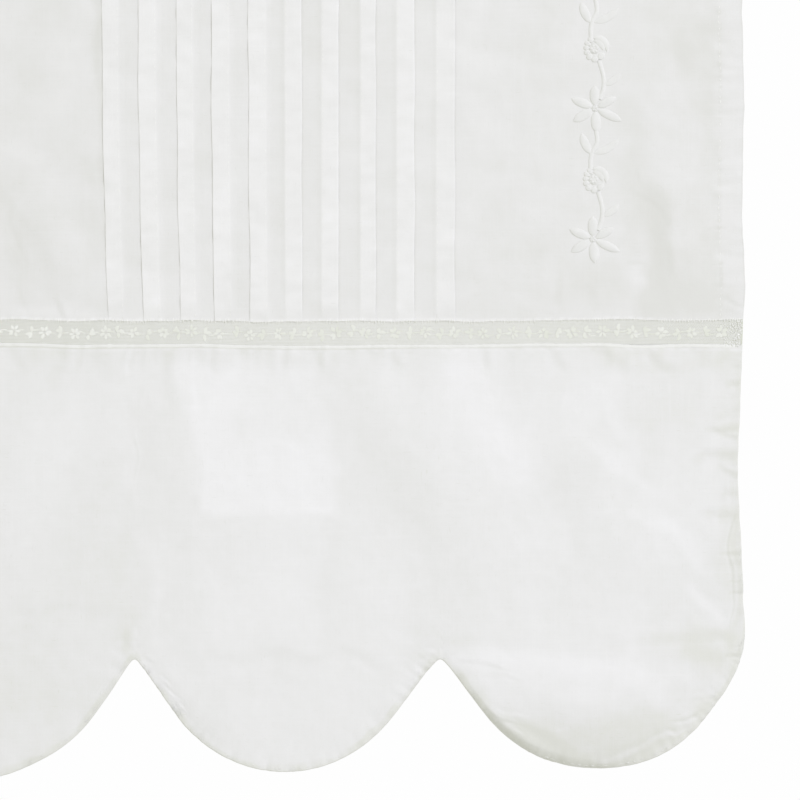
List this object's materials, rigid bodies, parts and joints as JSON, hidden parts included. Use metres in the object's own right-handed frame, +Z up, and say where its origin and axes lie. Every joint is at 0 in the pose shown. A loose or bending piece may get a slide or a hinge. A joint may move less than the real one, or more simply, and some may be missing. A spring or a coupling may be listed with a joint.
{
  "type": "lace-trimmed cafe curtain",
  "caption": "White cotton cafe curtain with stitched vertical tucks, embroidered flower sprays, a net lace insertion and a scalloped flounce, hung from its top edge.",
  "frame": {"origin": "middle of the top edge, in the middle plane of the panel's cloth", "axes": "+Z up along the drop, +X across the width to the right as seen from the front, -Y out of the front face"},
  "size_m": [0.4519, 0.0113, 0.6032],
  "materials": {
    "cotton": "plain-woven white cotton, matt, slightly sheer in one layer",
    "lace_net": "white cotton net with small embroidered flowers",
    "embroidery_thread": "white satin-stitch thread, softly glossy along the stitches"
  },
  "bodies": {
    "root": {"tucked_panel": "cotton", "lace_insertion": "lace_net", "scalloped_flounce": "cotton", "embroidered_spray_left": "embroidery_thread", "embroidered_spray_right": "embroidery_thread"}
  },
  "joints": []
}
